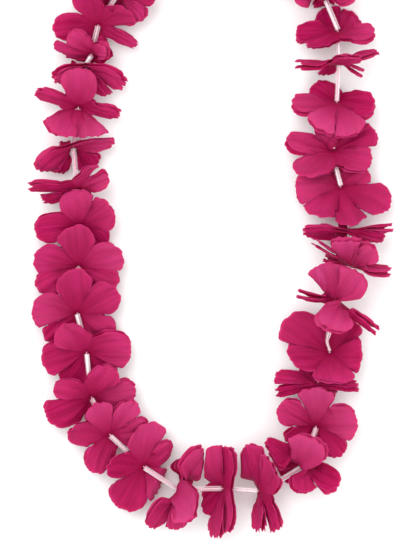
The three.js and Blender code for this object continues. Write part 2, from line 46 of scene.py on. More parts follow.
# Driving dimensions, as in the solids.
PITCH = 25.4  # from bloom to bloom, taken as the length of a straw, one inch
PHOTO_PITCH = 40.3  # the same in pixels of the photograph
STRAW_RADIUS = 1.7
THREAD_RADIUS = 0.5
PETAL_LENGTH = 27.0  # bloom centre to petal tip
PETAL_HALF_WIDTH = 9.6
PETALS = 5  # in each of a bloom's two layers
HUB_HALF_THICKNESS = 1.1
ROOT_RADIUS = 2.0  # where the petals start
LAYER_OFFSET = 0.75  # of each layer from the bloom's centre along its axis
BACK_BEND = 0.15  # how far the back petals bend back, as a share of their length
CLEARANCE = 0.3  # between pieces that touch
STACK = 1.1  # from one layer to the other where they lie together
CORD_HEIGHT = 18.0  # of the centre of a bloom that stands upright
LEAN_DROP = 7.0  # how much lower the centre of a bloom that lies flat is
STRAW_SIDES = 5  # of the solids' straws and thread
OVER = 0.5  # a petal lifted this much or more lies over the straws
TENT_RISE = 1.3  # and is held up by them along a ridge, in gaps to the straw
TENT_SLOPE = 0.75  # that falls off to both sides
TENT_START = 12  # and reaches its height this far out

# Places read from the photograph, in pixels of its 416 x 540 frame.
PHOTO_SIZE = (416, 540)
PHOTO_MIDDLE = (208, 270)
MM_PER_PIXEL = PITCH / PHOTO_PITCH
ARCH_CENTRE = (221.5, 22)
ARCH_RADIUS = 107
ARCH_HALF_ANGLE = 1.31
ARCH_BLOOMS = 6

# One bloom per row, in the order of the strand: its centre in pixels, the way its front faces, its
# fence and its petals. Ways are photo right, photo down and towards the viewer. The fence is the
# way across the plane between the bloom and the next one, and how many pixels past the straw's
# middle that plane stands. A petal is its tip in pixels, how much of its foreshortening lifts it
# (1) or lowers it (-1), how far it turns its face to the viewer and its share of the usual width.
BLOOMS = [
    ((98, 24), (-0.1, 0.45, 0.88), (0, 0.35, 0.94, 0), (
        (84, -16, 0.4, 0.95, 1.1), (136, 4, 0.3, 0.9, 1.15), (136, 46, 0.1, 0.4, 0.4),
        (95, 62, -0.1, 0.9, 1.2), (52, 28, 0.1, 0.8, 0.9))),
    ((91, 53), (-0.1, 0.75, 0.65), (-0.2, 0.9, 0.4, 0), (
        (54, 54, 0.4, 0.95, 1.2), (69, 35, 0.3, 0.95, 0.7), (108, 42, -0.5, 0.5, 0.8),
        (106, 60, 0.4, 0.7, 0.8), (66, 62, -0.6, 0.5, 0.9))),
    ((86, 66), (0, 0.8, 0.6), (0, 0.5, 0.87, 0), (
        (54, 82, 0, 0.4, 0.5), (72, 66, -0.85, 0.4, 0.9), (104, 68, -0.8, 0.4, 0.9),
        (124, 88, 0.1, 0.35, 0.7), (108, 98, 0.1, 0.6, 0.7))),
    ((78, 106), (-0.05, 0.8, 0.6), (0.05, 1, 0, 13), (
        (34, 92, 0, 0.15, 0.5), (79, 69, 0.7, 0.95, 1.2), (119, 117, 0, 0.15, 0.5),
        (94, 143, 0.7, 0.95, 1.5), (61, 138, 0.7, 0.95, 1.5))),
    ((73, 146), (0.1, 0.9, 0.45), None, (
        (40, 176, 0.1, 0.6, 0.8), (72, 126, -0.9, 0.4, 1), (115, 140, 0.3, 0.4, 0.8),
        (90, 170, -0.6, 0.6, 0.9), (58, 182, -0.6, 0.2, 0.5))),
    ((77, 188), (0.05, 0.98, 0.15), (0, 0.5, 0.87, 0), (
        (28, 190, 0, 0.2, 0.5), (97, 151, 0.2, 0.4, 0.3), (109, 178, 0.2, 0.9, 0.6),
        (80, 208, -0.8, 0.3, 0.8), (42, 202, -0.2, 0.4, 0.6))),
    ((81, 225), (0, 0.6, 0.8), (0, 0.4, 0.92, 0), (
        (34, 231, 0, 0.8, 1), (76, 192, 0.65, 0.95, 1.2), (111, 208, 0.4, 0.95, 1.3),
        (104, 246, -0.5, 0.7, 1), (62, 248, -0.5, 0.7, 1))),
    ((78, 266), (0, 0.45, 0.9), (0, 0.4, 0.92, 0), (
        (33, 257, 0.2, 0.95, 1.2), (74, 223, 0.6, 0.95, 1.25), (123, 256, 0.2, 0.95, 1.25),
        (117, 286, -0.1, 0.8, 1), (36, 290, -0.1, 0.8, 1))),
    ((77, 313), (0, 0.45, 0.9), (0.1, 0.55, 0.82, 0), (
        (31, 312, 0.2, 0.95, 1.3), (74, 267, 0.5, 0.95, 1.25), (117, 288, 0.3, 0.95, 1.25),
        (110, 341, -0.1, 0.95, 1.2), (47, 344, -0.2, 0.8, 1.1))),
    ((86, 352), (0.1, 0.65, 0.75), (0.1, 0.6, 0.8, 0), (
        (42, 364, 0, 0.9, 1.2), (58, 330, 0.55, 0.95, 1), (131, 352, 0.2, 0.8, 1.3),
        (108, 384, -0.5, 0.8, 1.1), (66, 386, -0.5, 0.8, 1.1))),
    ((91, 397), (0.2, 0.7, 0.7), (0.3, 0.6, 0.75, 0), (
        (53, 388, 0.2, 0.7, 0.8), (114, 369, 0.5, 0.85, 1), (136, 392, 0.2, 0.8, 0.9),
        (106, 430, -0.5, 0.6, 1), (46, 418, 0, 0.95, 1.2))),
    ((109, 434), (0.4, 0.65, 0.65), (0.5, 0.4, 0.77, 0), (
        (66, 432, 0, 0.9, 0.9), (94, 400, 0.5, 0.9, 1), (136, 402, 0.4, 0.7, 0.8),
        (150, 430, 0.2, 0.7, 1), (94, 474, -0.2, 0.7, 0.9))),
    ((143, 467), (0.45, 0.35, 0.82), (0.8, 0.3, 0.5, -2), (
        (103, 464, 0.2, 0.9, 0.95), (148, 420, 0.4, 0.95, 1.4), (176, 447, 0.2, 0.2, 0.7),
        (171, 496, 0.2, 0.95, 1.3), (121, 510, 0.2, 0.95, 1.3))),
    ((179, 489), (0.85, 0.1, 0.5), None, (
        (150, 529, 0, 0.5, 0.7), (186, 462, -0.8, 0.4, 1), (210, 451, 0.2, 0.6, 1),
        (194, 519, 0.8, 0.95, 1.2), (175, 530, 0.2, 0.8, 0.9))),
    ((224, 489), (0.9, 0.05, -0.42), None, (
        (213, 446, 0, 0.8, 1.2), (231, 447, 0.3, 0.2, 0.9), (228, 533, 0.3, 0.2, 0.9),
        (219, 539, 0, 0.2, 0.8), (205, 513, -0.6, 0.7, 1))),
    ((260, 491), (0.95, -0.05, -0.3), None, (
        (249, 444, 0.1, 0.7, 1.2), (277, 456, 0.7, 0.7, 1.2), (268, 503, -0.9, 0.3, 1),
        (278, 531, 0.3, 0.4, 0.8), (264, 532, 0, 0.2, 0.7))),
    ((302, 466), (0.6, -0.75, 0.25), (0.25, -0.75, -0.6, 0), (
        (264, 442, 0, 0.7, 1), (313, 434, 0.8, 0.95, 1.35), (340, 484, 0.1, 0.6, 0.9),
        (306, 492, 0.2, 0.7, 0.9), (284, 474, -0.8, 0.3, 1))),
    ((316, 426), (-0.1, -0.7, -0.65), (0, -0.6, -0.8, 6), (
        (281, 402, 0, 0.8, 0.95), (312, 383, 0.8, 0.95, 1.35), (357, 418, 0.5, 0.95, 1.2),
        (340, 458, -0.4, 0.8, 1.1), (286, 446, -0.2, 0.7, 0.95))),
    ((318, 384), (0, -0.95, 0.3), (0.2, -0.6, 0.78, 0), (
        (275, 376, 0.2, 0.5, 0.8), (308, 363, -0.6, 0.9, 0.9), (360, 384, 0, 0.3, 0.6),
        (328, 396, -0.8, 0.4, 0.9), (275, 391, -0.3, 0.3, 0.6))),
    ((330, 353), (0, -0.45, 0.9), (0.1, -0.5, 0.86, 0), (
        (284, 321, 0.1, 0.95, 1.5), (352, 317, 0, 0.9, 1.3), (362, 352, 0.2, 0.95, 1.5),
        (335, 386, 0.5, 0.95, 1.5), (287, 360, 0.2, 0.95, 1.5))),
    ((337, 302), (0.43, -0.9, 0.05), (0.45, -0.85, -0.3, 14), (
        (298, 291, 0.1, 0.1, 0.6), (325, 263, 0.9, 0.95, 1.3), (356, 268, 0.9, 0.95, 1.3),
        (379, 330, 0, 0.2, 0.7), (332, 328, 0.8, 0.95, 1.2))),
    ((350, 265), (0.45, -0.89, 0), (0.1, -0.85, -0.5, 8), (
        (315, 238, 0.1, 0.1, 0.7), (347, 229, 0.9, 0.95, 1.35), (373, 245, 0.5, 0.9, 0.8),
        (391, 270, 0.1, 0.15, 0.8), (326, 257, -0.6, 0.1, 0.6))),
    ((350, 230), (0.05, -0.98, -0.15), (0, -0.7, 0.7, -10), (
        (303, 232, 0.1, 0.7, 0.9), (350, 200, -0.5, 0.3, 1), (393, 223, 0.1, 0.2, 0.6),
        (384, 242, 0.2, 0.95, 0.8), (345, 244, -0.9, 0.3, 1))),
    ((341, 187), (0, -0.5, 0.86), (0, -0.6, 0.8, 0), (
        (296, 188, 0.1, 0.95, 1.4), (366, 165, 0, 0.8, 1.2), (390, 210, 0, 0.9, 1.4),
        (356, 230, 0.5, 0.95, 1.6), (313, 220, 0.3, 0.95, 1.5))),
    ((333, 151), (0, -0.8, 0.5), (0, -0.6, 0.8, 0), (
        (287, 136, 0, 0.6, 0.75), (322, 119, 0.55, 0.95, 1.1), (375, 128, 0.3, 0.8, 1.1),
        (372, 160, 0.2, 0.8, 1), (296, 178, 0.3, 0.95, 1.1))),
    ((337, 103), (0.05, -0.85, 0.5), None, (
        (292, 101, 0.1, 0.5, 0.8), (313, 84, -0.4, 0.9, 1), (375, 103, 0.2, 0.6, 1),
        (351, 136, 0.6, 0.95, 1.3), (319, 130, 0.6, 0.95, 1.3))),
    ((339, 63), (0.03, -0.98, 0.15), None, (
        (295, 62, 0.1, 0.15, 0.6), (357, 50, 0.6, 0.4, 0.7), (377, 45, 0.1, 0, 0.35),
        (364, 71, 0.1, 0.1, 0.35), (321, 67, -0.6, 0.1, 0.6))),
    ((338, 32), (0, -0.85, 0.5), None, (
        (296, 33, 0.1, 0.85, 0.9), (330, 4, -0.8, 0.8, 1.1), (354, 9, -0.7, 0.8, 1),
        (375, 30, 0.2, 0.5, 0.7), (306, 47, 0.3, 0.4, 0.6))),
    ((325, -3), (-0.3, -0.8, 0.4), None, (
        (297, -16, 0.3, 0.7, 0.9), (308, -32, -0.7, 0.8, 0.8), (342, -32, -0.7, 0.8, 0.8),
        (354, -16, 0.3, 0.7, 0.9), (324, 5, -0.8, 0.3, 0.7))),
]
LAST_BLOOM = ((118, -8), (-0.4, 0.75, 0.5), None, (
        (78, -15, 0.2, 0.8, 1), (106, -26, -0.8, 0.7, 1), (158, -8, 0.2, 0.8, 1),
        (140, 23, 0.1, 0.4, 0.9), (112, 12, -0.9, 0.4, 1)))

# How the satin is drawn on each petal.
COLUMNS = 32  # across it
ROWS = 28  # along it
WEB_END = 0.48  # share of a petal's length where the pull that joins it to the next one ends
WEB_PULL = 0.18  # over this share before, the pull fades
WEB_CALM = 0.1  # over this share before and after, the folds set in at the petal's sides
SATIN = 0.3  # thickness of the fabric
WELD = 0.02  # points this close are one
SHEET_GAP = 0.45  # half of the room that a folded sheet takes
SOFT_FENCE = 1.3  # how widely a petal bends away from the next bloom
SOFT_STRAW = 0.8  # from a straw
SOFT_WALL = 0.6  # from the petal beside it
SOFT_SURFACE = 0.5  # and from the surface below
FACE_GAP = 0.1  # between a petal's face and the wall beside it or the layer below it
REST_GAP = 0.15  # between a petal's face and the surface before it is folded
LEAST_REST = 0.05  # and after
HOLE_RADIUS = 0.9  # of the thread's hole, where a layer starts
NARROW = 0.8  # petals no wider than this share
EDGE_ON = 0.4  # and turned no further to the viewer than this have frayed rims
FRAYED = 0.06  # how deep, as a share of the petal's length
CUT = 0.012  # how deep a plain cut rim is notched
PALE = 0.15  # how pale a level petal is, from 0 to 1
# Painted light: a lifted petal, rising towards the lamps, is painted paler.
LIGHT_BY_LIFT = 0.6  # how much paler a fully lifted one is
PALE_SPREAD = 0.5  # how much the petals differ

# The folds' heights.
BROAD_FOLD = 0.5
TINY_FOLD = 0.07
RIM_WAVE = 0.5
RIM_CRIMP = 0.16

# How the straws and the thread are drawn.
STRAW_WALL = 0.3  # thickness of the plastic
STRAW_REACH = 0.4  # how far a straw runs on past the solid's end
STRAW_ROUND = 24
STRAW_STEPS = 24
THREAD_ROUND = 10
THREAD_STEPS = 30
THREAD_GROOVE = 0.14  # depth of the twist's grooves, as a share of the radius
THREAD_TWIST = 0.9  # radians from one step to the next

# The straw after bloom 20 is bent aside and crushed near its start.
CRUSHED_STRAW = 19
CRUSH_AT = 0.2  # share of its length
CRUSH_ASIDE = 2.6
CRUSH_DENT = 0.38  # depth of the fold, as a share of the radius
CRUSH_CRUMPLE = 0.16

# Colours, linear.
# Lit and shaded pink: painted light and shade in the petals' streaks.
SHADED_PINK = (0.26, 0.0006, 0.043, 1)
LIT_PINK = (0.46, 0.008, 0.104, 1)
# Painted shade towards the middle of each bloom.
CENTRE_SHADE_PINK = (0.235, 0.0004, 0.035, 1)
# Painted light on lifted petals, mixed with paleness that differs at random.
LIT_AND_PALE_PINK = (0.58, 0.062, 0.21, 1)
# Painted highlight along the cut rim and the petals' sides.
RIM_HIGHLIGHT_PINK = (0.50, 0.025, 0.14, 1)
SHEEN_PINK = (1.0, 0.4, 0.65, 1)
LIGHT_THROUGH = (1.0, 0.06, 0.25)  # how far each colour goes in the fabric
STRAW_TINT = (1.0, 0.9, 0.94, 1)
THREAD_DARK = (0.70, 0.16, 0.30, 1)
THREAD_PALE = (0.85, 0.32, 0.45, 1)
FLOOR_WHITE = (0.97, 0.97, 0.97, 1)
WORLD_WHITE = (1, 1, 1, 1)
WORLD_STRENGTH = 1.15

# The studio, in metres and watts: each light's name, place, size and power.
LIGHTS = (
    ("overhead", (-0.5, 0.5, 1.4), 1.0, 9),
    ("side", (0.9, -0.3, 0.9), 0.8, 2.5),
)
FLOOR_REACH = 2.0
FLOOR_DROP = 0.0005
CAMERA_DISTANCE = 1.5
SENSOR_WIDTH = 36

UP = np.array([0.0, 0.0, 1.0])


# A number from 0 to 1 that looks random and is the same in every run.
def draw(seed):
    wave = math.sin(seed * 12.9898 + 4.1) * 43758.5453
    return wave - math.floor(wave)


def lerp(a, b, t):
    return a + (b - a) * t


def smooth(t, a, b):
    s = np.clip((t - a) / (b - a), 0, 1)
    return s * s * (3 - 2 * s)


def unit(v):
    v = np.asarray(v, float)
    return v / np.maximum(np.linalg.norm(v, axis=-1, keepdims=True), 1e-9)


def from_photo(at, height):
    return np.array([
        (at[0] - PHOTO_MIDDLE[0]) * MM_PER_PIXEL,
        (PHOTO_MIDDLE[1] - at[1]) * MM_PER_PIXEL,
        height,
    ])


def height_of(axis):
    return CORD_HEIGHT - LEAN_DROP * abs(axis[2])


def crossways(axis):
    side = unit(np.cross(UP, axis))
    return side, np.cross(axis, side)


def outward(axis, turn):
    side, high = crossways(axis)
    return side * math.cos(turn) + high * math.sin(turn)


# A petal's tip: as far above or below its bloom's centre as its foreshortening asks for.
def photo_tip(centre, petal):
    tip = from_photo(petal[:2], 0)
    across = math.hypot(tip[0] - centre[0], tip[1] - centre[1])
    tip[2] = centre[2] + petal[2] * math.sqrt(max(0, PETAL_LENGTH ** 2 - across ** 2))
    return tip


def photo_bloom(row):
    at, (right, down, out), fence, petals = row
    axis = unit((right, -down, out))
    centre = from_photo(at, height_of(axis))
    return {
        "centre": centre,
        "axis": axis,
        "fence": fence,
        "tips": [photo_tip(centre, p) for p in petals],
        "lift": [p[2] for p in petals],
        "over": [p[2] >= OVER for p in petals],
        "facing": [p[3] for p in petals],
        "width": [p[4] for p in petals],
    }


# A bloom of the arch past the photograph's top edge.
def arch_bloom(k):
    angle = lerp(ARCH_HALF_ANGLE, -ARCH_HALF_ANGLE, (k + 1) / (ARCH_BLOOMS + 1))
    axis = unit((-math.cos(angle), math.sin(angle), lerp(-0.4, 0.9, draw(k))))
    at = (
        ARCH_CENTRE[0] + ARCH_RADIUS * math.sin(angle),
        ARCH_CENTRE[1] - ARCH_RADIUS * math.cos(angle),
    )
    centre = from_photo(at, height_of(axis))
    tips = []
    for i in range(PETALS):
        turn = (i + 0.3 * draw(10 * k + i) + draw(k + 50)) * 2 * math.pi / PETALS
        bend = lerp(-0.2, 0.45, draw(20 * k + i))
        way = outward(axis, turn) * math.cos(bend) + axis * math.sin(bend)
        tips.append(centre + way * PETAL_LENGTH)
    return {
        "centre": centre,
        "axis": axis,
        "fence": None,
        "tips": tips,
        "lift": [0.4 * draw(60 * k + i) for i in range(PETALS)],
        "over": [False] * PETALS,
        "facing": [0.4 * draw(30 * k + i) for i in range(PETALS)],
        "width": [lerp(0.9, 1.1, draw(40 * k + i)) for i in range(PETALS)],
    }


blooms = [photo_bloom(row) for row in BLOOMS]
blooms += [arch_bloom(k) for k in range(ARCH_BLOOMS)]
blooms.append(photo_bloom(LAST_BLOOM))
COUNT = len(blooms)


# Where the straw between two blooms starts and ends: clear of both hubs, however far it leans.
def straw_ends(a, b):
    way = unit(b["centre"] - a["centre"])

    def stand_off(bloom):
        lean = math.sqrt(max(0, 1 - float(bloom["axis"] @ way) ** 2))
        return HUB_HALF_THICKNESS + CLEARANCE + STRAW_RADIUS * lean

    return (
        a["centre"] + a["axis"] * stand_off(a),
        b["centre"] - b["axis"] * stand_off(b),
    )


straws = [straw_ends(blooms[i], blooms[(i + 1) % COUNT]) for i in range(COUNT)]


# The plane that keeps bloom i and the next one apart.
def fence_after(i):
    fence = blooms[i]["fence"]
    start, end = straws[i]
    if fence is None:
        normal = unit(blooms[i]["axis"] + blooms[(i + 1) % COUNT]["axis"])
        shift = 0
    else:
        normal = unit((fence[0], -fence[1], fence[2]))
        shift = fence[3] * MM_PER_PIXEL
    return normal, (start + end) / 2 + unit(end - start) * shift


fences = [fence_after(i) for i in range(COUNT)]


# The larger of value and least, with the corner rounded off over the width k.
def at_least(value, least, k):
    if not k:
        return np.maximum(value, least)
    return least + k * np.logaddexp(0, (value - least) / k)


def keep_on_side(points, fence, sign, gap, k):
    normal, place = fence
    distance = sign * ((points - place) @ normal)
    moved = at_least(distance, gap, k)
    return points + np.outer(sign * (moved - distance), normal)


def nearest_on(line, points):
    start, end = line
    way = end - start
    share = np.clip((points - start) @ way / (way @ way), 0, 1)
    return start + share[:, None] * way


def keep_off_straw(points, line, gap, k):
    nearest = nearest_on(line, points)
    away = points - nearest
    distance = np.linalg.norm(away, axis=1)
    return nearest + unit(away) * at_least(distance, gap, k)[:, None]


# A petal that lies over a straw is held up by it like a tent, away from the middle of its bloom.
def keep_over_straw(points, line, gap, centre, k):
    nearest = nearest_on(line, points)
    aside = np.hypot(points[:, 0] - nearest[:, 0], points[:, 1] - nearest[:, 1])
    rise = TENT_RISE * smooth(np.linalg.norm(nearest - centre, axis=1), 0, TENT_START)
    least = nearest[:, 2] + rise * gap - TENT_SLOPE * aside
    points = points.copy()
    points[:, 2] = at_least(points[:, 2], least, k)
    return points


# Lifts points that are less than gap above the surface, and spreads a steep petal's outwards.
def lay_on_surface(points, way, gap, k):
    depth = gap - points[:, 2]
    level = math.hypot(way[0], way[1])
    spread = np.maximum(depth, 0) * (1 - level) / max(0.2, abs(way[2]))
    aside = np.array([way[0], way[1], 0]) / max(level, 0.1)
    points = points + np.outer(spread, aside)
    points[:, 2] += at_least(depth, 0, k)
    return points


# Moves the points of a petal of bloom i clear of the straws, the fences, the petals beside it and
# the surface. The layer that is further from a thing keeps off it by the other's thickness as well.
def settle(points, i, front, way, face_up, over, walls):
    reach = SHEET_GAP + CLEARANCE
    ahead = reach + (0 if front else STACK)
    behind = reach + (STACK if front else 0)
    below = SATIN / 2 + REST_GAP + (STACK if front == face_up else 0)
    for soft in (True, False, False):
        fence_k, straw_k, wall_k = (SOFT_FENCE, SOFT_STRAW, SOFT_WALL) if soft else (0, 0, 0)
        if over:
            centre = blooms[i]["centre"]
            points = keep_over_straw(points, straws[i - 1], STRAW_RADIUS + behind, centre, straw_k)
            points = keep_over_straw(points, straws[i], STRAW_RADIUS + ahead, centre, straw_k)
        points = keep_off_straw(points, straws[i - 1], STRAW_RADIUS + behind, straw_k)
        points = keep_off_straw(points, straws[i], STRAW_RADIUS + ahead, straw_k)
        for wall in walls:
            points = keep_on_side(points, wall, 1, SATIN / 2 + FACE_GAP, wall_k)
        points = keep_on_side(points, fences[i - 2], 1, behind, 0)
        points = keep_on_side(points, fences[(i + 1) % COUNT], -1, ahead, 0)
        points = keep_on_side(points, fences[i - 1], 1, behind, fence_k)
        points = keep_on_side(points, fences[i], -1, ahead, fence_k)
        points = lay_on_surface(points, way, below, SOFT_SURFACE if soft else 0)
    return points


# The petals of a bloom in order round the axis, each with the turn of its root and its walls:
# planes half way between its direction and each other petal's.
def petals_round(bloom):
    side, high = crossways(bloom["axis"])
    centre = bloom["centre"]
    ways = [unit(tip - centre) for tip in bloom["tips"]]
    aims = sorted((math.atan2(way @ high, way @ side), k) for k, way in enumerate(ways))
    step = 2 * math.pi / PETALS
    lags = [aim - place * step for place, (aim, _) in enumerate(aims)]
    start = math.atan2(sum(map(math.sin, lags)), sum(map(math.cos, lags)))
    return [
        {
            "k": k,
            "tip": bloom["tips"][k],
            "turn": start + place * step,
            "walls": [(unit(ways[k] - way), centre) for q, way in enumerate(ways) if q != k],
        }
        for place, (_, k) in enumerate(aims)
    ]


# The way a petal's face points by its bend alone, and when it is also turned to the viewer.
def petal_normals(axis, out, way, facing):
    bend = float(axis @ way)
    natural = axis * math.sqrt(max(0, 1 - bend * bend)) - out * bend
    natural = unit(natural - way * (natural @ way))
    faced = UP * (-1 if natural[2] < 0 else 1)
    faced = unit(faced - way * (faced @ way))
    return natural, unit(natural + (faced - natural) * facing)


# Places on a petal: u from its right side (1) to its left (-1), v from its root (0) to its rim (1).
U, V = np.meshgrid(np.linspace(-1, 1, COLUMNS + 1), np.linspace(0, 1, ROWS + 1))


# A petal's folds: broad pleats that fan out from its root, finer ones between them, and a wavy rim.
def folds(seed):
    phase = 2 * math.pi * draw(seed)
    pleats = 1.5 + 1.5 * draw(seed + 0.3)
    skew = lerp(-0.35, 0.35, draw(seed + 0.7))
    bent = U + skew * U * (1 - U * U)
    broad = np.cos(math.pi * pleats * bent + phase) * smooth(V, 0.05, 0.5)
    broad *= BROAD_FOLD * (1 - 0.35 * smooth(V, 0.7, 1))
    fine = np.abs(np.cos(math.pi * pleats * 0.9 * bent + 2.3 * phase)) ** 0.7 - 0.6
    fine *= lerp(0.25, 0.7, draw(seed + 0.4))
    fine *= smooth(V, 0.08, 0.4) * (1 - 0.6 * smooth(V, 0.55, 1))
    tiny = np.cos(math.pi * 7.3 * bent + 5.1 * phase) * smooth(V, 0.1, 0.3)
    tiny *= TINY_FOLD * (1 - 0.5 * smooth(V, 0.7, 1))
    waves = 3.3 + 2 * draw(seed + 0.9)
    rim = np.cos(math.pi * waves * bent + 4.1 * phase) * smooth(V, 0.7, 1)
    crimp = np.cos(math.pi * 9 * bent + 7 * phase) * smooth(V, 0.86, 1) * draw(seed + 0.5)
    return broad + fine + tiny + RIM_WAVE * rim + RIM_CRIMP * crimp


# The outline of the rim: rounded, a little uneven where the fabric was cut, and notched by fray.
def rim_reach(seed, fray):
    u = U[0]
    phase = 2 * math.pi * draw(seed + 0.2)
    reach = 0.62 + 0.38 * np.sqrt(np.maximum(0, 1 - u * u))
    reach += 0.012 * np.sin(9 * u + phase) + 0.006 * np.sin(23 * u + 3 * phase)
    return reach - fray * np.maximum(0, np.sin(11 * u + 5 * phase)) ** 2


def petal_grid(i, front, petal):
    bloom = blooms[i]
    centre, axis, k = bloom["centre"], bloom["axis"], petal["k"]
    seed = 7.1 * i + 1.37 * k
    out = outward(axis, petal["turn"])
    aim = unit(petal["tip"] - centre)
    natural, turned = petal_normals(axis, out, aim, bloom["facing"][k])
    side = 1 if front else -1
    outer = max(0, -side * float(axis @ aim))
    root = centre + out * (ROOT_RADIUS + 2 * LAYER_OFFSET * outer) + axis * side * LAYER_OFFSET
    end = petal["tip"] if front else petal["tip"] - natural * BACK_BEND * PETAL_LENGTH
    way = end - root
    length = np.linalg.norm(way)
    way = way / length
    grown = 1 - (1 - np.clip(V / (0.4 if bloom["over"][k] else 0.6), 0, 1)) ** 1.6
    half_width = PETAL_HALF_WIDTH * (0.15 + 0.85 * grown)
    half_width = half_width * lerp(1, bloom["width"][k], smooth(V, 0, 0.45))
    edge_on = bloom["width"][k] <= NARROW and bloom["facing"][k] <= EDGE_ON
    along = V * rim_reach(seed, FRAYED if edge_on else CUT)[None, :]
    lean = smooth(along, 0, 0.5)[..., None]
    normal = unit(natural + (turned - natural) * lean)
    sideways = unit(np.cross(normal, way))
    arch = lerp(0.3, 1.4, draw(seed + 0.15)) * (0.4 - U * U) * smooth(V, 0.2, 0.8)
    curl = -lerp(-0.4, 1.2, draw(seed + 0.25)) * smooth(V, 0.55, 1) ** 2
    points = root + way * (along * length)[..., None]
    # Where the petals are still one piece of fabric, they run level into each other.
    calm = 1 - smooth(np.abs(U), 0.4, 1) * (1 - smooth(V, WEB_END - WEB_CALM, WEB_END + WEB_CALM))
    points = points + sideways * (U * half_width)[..., None]
    points = points + normal * (calm * arch + curl)[..., None]
    shape = points.shape
    points = settle(
        points.reshape(-1, 3), i, front, way, natural[2] > 0, bloom["over"][k], petal["walls"])
    points = points.reshape(shape)
    across = unit(np.gradient(points, axis=1))
    outwards = unit(np.gradient(points, axis=0))
    face = unit(np.cross(outwards, across) * -1)
    face = unit(face + 1e-3 * normal)
    points = points + face * (calm * folds(seed))[..., None]
    lowest = SATIN / 2 + LEAST_REST
    if front == (natural[2] > 0):
        lowest += SATIN + FACE_GAP
    points[..., 2] = np.maximum(points[..., 2], lowest)
    return points


# Near the middle of the bloom the petals are one piece of fabric: neighbouring edges meet there.
def join_webs(grids):
    middles = [(grids[p][:, -1] + grids[(p + 1) % PETALS][:, 0]) / 2 for p in range(PETALS)]
    hold = (1 - smooth(V[:, 0], WEB_END - WEB_PULL, WEB_END))[:, None, None]
    for p, grid in enumerate(grids):
        right = (middles[p] - grid[:, -1])[:, None, :] * smooth(U, 0, 1)[..., None]
        left = (middles[p - 1] - grid[:, 0])[:, None, :] * smooth(-U, 0, 1)[..., None]
        grids[p] = grid + hold * (right + left)


def layer_mesh(i, front):
    bloom = blooms[i]
    petals = petals_round(bloom)
    grids = [petal_grid(i, front, petal) for petal in petals]
    join_webs(grids)
    columns, rows = COLUMNS + 1, ROWS + 1
    axis = bloom["axis"]
    level = bloom["centre"] + axis * (LAYER_OFFSET if front else -LAYER_OFFSET)
    verts, faces = [], []
    marks = {"rim": [], "weave": [], "light_and_tone": []}
    for place, grid in enumerate(grids):
        hole = [
            level + HOLE_RADIUS * outward(axis, petals[place]["turn"] + math.pi / PETALS * u)
            for u in np.linspace(-1, 1, columns)
        ]
        base = len(verts)
        verts.extend(hole)
        verts.extend(grid.reshape(-1, 3))
        marks["rim"].extend([0.0] * columns)
        # Painted highlight: the cut rim and the outer sides of the petals, where light catches the
        # thin edge, take a paler pink.
        rim_highlight = np.maximum(smooth(V, 0.94, 1), smooth(np.abs(U), 0.9, 1) * smooth(V, 0.45, 0.6))
        marks["rim"].extend(rim_highlight.ravel())
        seed = 31.7 * i + 5.3 * place + (2.1 if front else 0)
        lift = bloom["lift"][petals[place]["k"]]
        # Painted light: the more a petal lifts towards the lamps, the paler it is painted, with a
        # random spread.
        light_and_tone = PALE + LIGHT_BY_LIFT * lift + PALE_SPREAD * (draw(seed) - 0.5)
        light_and_tone = min(max(light_and_tone, 0), 1)
        marks["light_and_tone"].extend([light_and_tone] * (columns + grid.shape[0] * grid.shape[1]))
        marks["weave"].extend([(u, 0.0, seed) for u in U[0]])
        marks["weave"].extend(np.stack([U, V, np.full(U.shape, seed)], -1).reshape(-1, 3).tolist())
        for r in range(rows):
            for c in range(columns - 1):
                a = base + r * columns + c
                faces.append((a, a + 1, a + columns + 1, a + columns))
    return np.array(verts), faces, marks


# The least corner of the strand's solid, before the whole lei is moved to its place in the frame.
def strand_low():
    low = np.full(3, 1e9)
    for i, (start, end) in enumerate(straws):
        way = unit(end - start)
        rings = [
            (start, blooms[i]["axis"], THREAD_RADIUS), (start, way, STRAW_RADIUS),
            (end, way, STRAW_RADIUS), (end, blooms[(i + 1) % COUNT]["axis"], THREAD_RADIUS),
        ]
        for centre, axis, radius in rings:
            for k in range(STRAW_SIDES):
                corner = radius * outward(axis, 2 * math.pi * k / STRAW_SIDES)
                low = np.minimum(low, centre + corner)
    return low


offset = np.array(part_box("strand")[0]) / MM - strand_low()


def new_object(name, verts, faces, material, slot, *nodes):
    mesh = bpy.data.meshes.new(name)
    mesh.from_pydata(((np.asarray(verts) + offset) * MM).tolist(), [], faces)
    mesh.polygons.foreach_set("use_smooth", [True] * len(mesh.polygons))
    mesh.materials.append(material)
    piece = bpy.data.objects.new(name, mesh)
    bpy.context.scene.collection.objects.link(piece)
    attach(piece, "root")
    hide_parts(*nodes)
    return piece


class Nodes:
    """A material's node tree, built by short calls."""

    def __init__(self, name):
        self.material = bpy.data.materials.new(name)
        self.material.use_nodes = True
        self.tree = self.material.node_tree
        self.shader = next(n for n in self.tree.nodes if n.type == "BSDF_PRINCIPLED")

    def add(self, kind, **values):
        node = self.tree.nodes.new(kind)
        for key, value in values.items():
            if hasattr(node, key) and key not in node.inputs:
                setattr(node, key, value)
            else:
                node.inputs[key].default_value = value
        return node

    def join(self, source, target):
        self.tree.links.new(source, target)


